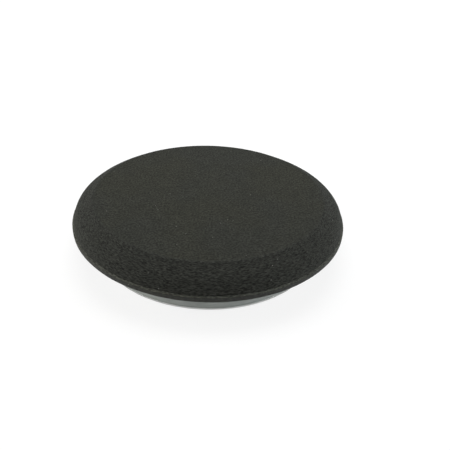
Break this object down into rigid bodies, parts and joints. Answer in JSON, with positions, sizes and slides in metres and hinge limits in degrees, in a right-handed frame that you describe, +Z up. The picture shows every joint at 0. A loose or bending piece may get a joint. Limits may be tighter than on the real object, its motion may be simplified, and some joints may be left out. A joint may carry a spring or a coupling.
{
  "type": "polishing pad",
  "caption": "Round foam finishing pad with a flat face, rounded shoulder, tapered underside and a hook-and-loop backing for a machine polisher.",
  "frame": {"origin": "centre of the resting face, on the ends of the loops", "axes": "+Z up through the layers, square to the flat working face; the object is round about Z"},
  "size_m": [0.15, 0.15, 0.03],
  "materials": {
    "open_cell_foam": "matt, fine open pores, ground shoulder",
    "closed_cell_foam": "matt, fine closed skin",
    "hot_melt_film": "satin, translucent",
    "loop_ground": "knitted ground cloth",
    "loop_yarn": "raised loops, soft sheen"
  },
  "bodies": {
    "root": {"foam_pad": "open_cell_foam", "foam_bond_film": "hot_melt_film", "backing_layer": "closed_cell_foam", "loop_bond_film": "hot_melt_film", "loop_cloth": "loop_ground", "loop_pile": "loop_yarn"}
  },
  "joints": []
}
